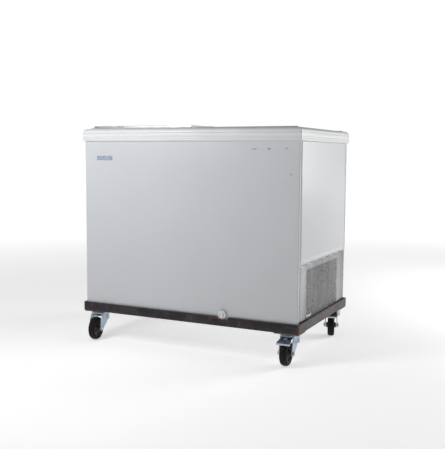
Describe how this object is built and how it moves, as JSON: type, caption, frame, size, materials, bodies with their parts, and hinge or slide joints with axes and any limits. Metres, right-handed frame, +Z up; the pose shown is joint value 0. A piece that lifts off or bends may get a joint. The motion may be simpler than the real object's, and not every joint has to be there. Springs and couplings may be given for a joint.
{
  "type": "ice cream chest freezer on casters",
  "caption": "White chest freezer with two sliding glass lids, a ribbed rim and a perforated side vent, on a wheeled angle-iron trolley.",
  "frame": {"origin": "on the floor, under the middle of the cabinet", "axes": "+X to the cabinet's right as seen from its front, along the long side and the lids' travel; +Y to its back; +Z up"},
  "size_m": [1.026, 0.7364, 0.9548],
  "materials": {
    "white_paint": "white enamel on sheet steel, satin",
    "white_plastic": "extruded and moulded white plastic, low gloss",
    "grey_plastic": "grey extruded plastic",
    "foam": "rigid insulating foam",
    "liner": "white coated sheet steel",
    "galvanised": "galvanised sheet, spangled",
    "zinc": "bright zinc plate with a blue tint",
    "aluminium": "satin",
    "copper": "bare copper tube",
    "black_paint": "black enamel",
    "black_plastic": "moulded",
    "cream_plastic": "moulded",
    "rubber": "black rubber tyre on a black hub",
    "mill_scale": "bare rolled steel, dark mill scale with rust on its edges",
    "glass": "clear toughened glass",
    "badge": "plain blank plate"
  },
  "bodies": {
    "cabinet": {"front_panel": "white_paint", "back_panel": "white_paint", "left_panel": "white_paint", "right_panel": "white_paint", "rim_front": "white_plastic", "rim_right": "white_plastic", "rim_back": "white_plastic", "rim_left": "white_plastic", "drain_pipe": "white_plastic", "track_front": "grey_plastic", "track_back": "grey_plastic", "foam_left": "foam", "foam_right": "foam", "foam_front": "foam", "foam_back": "foam", "foam_floor": "foam", "inner_liner": "liner", "base_tray": "galvanised", "side_grille": "galvanised", "rear_cover": "galvanised", "fan_bracket": "galvanised", "fan_shroud": "galvanised", "caster_plate_front_left": "zinc", "caster_plate_front_right": "zinc", "caster_plate_rear_right": "zinc", "caster_plate_rear_left": "zinc", "condenser": "aluminium", "fan_motor": "aluminium", "evaporator_coil": "copper", "filter_drier": "copper", "discharge_tube": "copper", "suction_tube": "copper", "compressor": "black_paint", "compressor_base": "black_paint", "cable_gland": "black_plastic", "terminal_cover": "cream_plastic", "trolley_angle_front": "mill_scale", "trolley_angle_right": "mill_scale", "trolley_angle_back": "mill_scale", "trolley_angle_left": "mill_scale", "name_badge": "badge"},
    "upper_lid": {"upper_lid_frame": "aluminium", "upper_lid_glass": "glass", "upper_lid_handle": "grey_plastic"},
    "lower_lid": {"lower_lid_frame": "aluminium", "lower_lid_glass": "glass", "lower_lid_handle": "grey_plastic"},
    "drain_dial": {"drain_dial": "white_plastic"},
    "thermostat_knob": {"thermostat_knob": "black_plastic"},
    "fan": {"fan_blade": "aluminium"},
    "fork_front_left": {"caster_fork_front_left": "zinc"},
    "wheel_front_left": {"caster_wheel_front_left": "rubber"},
    "fork_front_right": {"caster_fork_front_right": "zinc"},
    "wheel_front_right": {"caster_wheel_front_right": "rubber"},
    "pedal_front_right": {"brake_pedal_front_right": "zinc"},
    "fork_rear_right": {"caster_fork_rear_right": "zinc"},
    "wheel_rear_right": {"caster_wheel_rear_right": "rubber"},
    "pedal_rear_right": {"brake_pedal_rear_right": "zinc"},
    "fork_rear_left": {"caster_fork_rear_left": "zinc"},
    "wheel_rear_left": {"caster_wheel_rear_left": "rubber"}
  },
  "joints": [
    {"name": "upper_lid_slide", "type": "slide", "parent": "cabinet", "child": "upper_lid", "axis": [1, 0, 0], "range_m": [0, 0.457]},
    {"name": "lower_lid_slide", "type": "slide", "parent": "cabinet", "child": "lower_lid", "axis": [1, 0, 0], "range_m": [-0.457, 0]},
    {"name": "drain_dial_turn", "type": "hinge", "parent": "cabinet", "child": "drain_dial", "pos_m": [0.1805, -0.322, 0.178], "axis": [0, 1, 0], "range_deg": [0, 180]},
    {"name": "thermostat_turn", "type": "hinge", "parent": "cabinet", "child": "thermostat_knob", "pos_m": [0.41, 0.32, 0.345], "axis": [0, 1, 0], "range_deg": [0, 270]},
    {"name": "fan_spin", "type": "hinge", "parent": "cabinet", "child": "fan", "pos_m": [0.433, 0.25, 0.279], "axis": [0, 1, 0], "continuous": true},
    {"name": "swivel_front_left", "type": "hinge", "parent": "cabinet", "child": "fork_front_left", "pos_m": [-0.459, -0.277, 0.1165], "axis": [0, 0, 1], "continuous": true},
    {"name": "roll_front_left", "type": "hinge", "parent": "fork_front_left", "child": "wheel_front_left", "pos_m": [-0.45329, -0.3176, 0.05], "axis": [0.9903, 0.1392, 0], "continuous": true},
    {"name": "swivel_front_right", "type": "hinge", "parent": "cabinet", "child": "fork_front_right", "pos_m": [0.459, -0.277, 0.1165], "axis": [0, 0, 1], "continuous": true},
    {"name": "roll_front_right", "type": "hinge", "parent": "fork_front_right", "child": "wheel_front_right", "pos_m": [0.46115, -0.31794, 0.05], "axis": [0.9986, 0.0523, 0], "continuous": true},
    {"name": "brake_front_right", "type": "hinge", "parent": "fork_front_right", "child": "pedal_front_right", "pos_m": [0.46084, -0.31215, 0.1125], "axis": [0.9986, 0.0523, 0], "range_deg": [0, 6]},
    {"name": "swivel_rear_right", "type": "hinge", "parent": "cabinet", "child": "fork_rear_right", "pos_m": [0.459, 0.277, 0.1165], "axis": [0, 0, 1], "continuous": true},
    {"name": "roll_rear_right", "type": "hinge", "parent": "fork_rear_right", "child": "wheel_rear_right", "pos_m": [0.4703, 0.23759, 0.05], "axis": [0.9613, 0.2756, 0], "continuous": true},
    {"name": "brake_rear_right", "type": "hinge", "parent": "fork_rear_right", "child": "pedal_rear_right", "pos_m": [0.4687, 0.24316, 0.1125], "axis": [0.9613, 0.2756, 0], "range_deg": [0, 6]},
    {"name": "swivel_rear_left", "type": "hinge", "parent": "cabinet", "child": "fork_rear_left", "pos_m": [-0.459, 0.277, 0.1165], "axis": [0, 0, 1], "continuous": true},
    {"name": "roll_rear_left", "type": "hinge", "parent": "fork_rear_left", "child": "wheel_rear_left", "pos_m": [-0.46115, 0.31794, 0.05], "axis": [-0.9986, -0.0523, 0], "continuous": true}
  ]
}
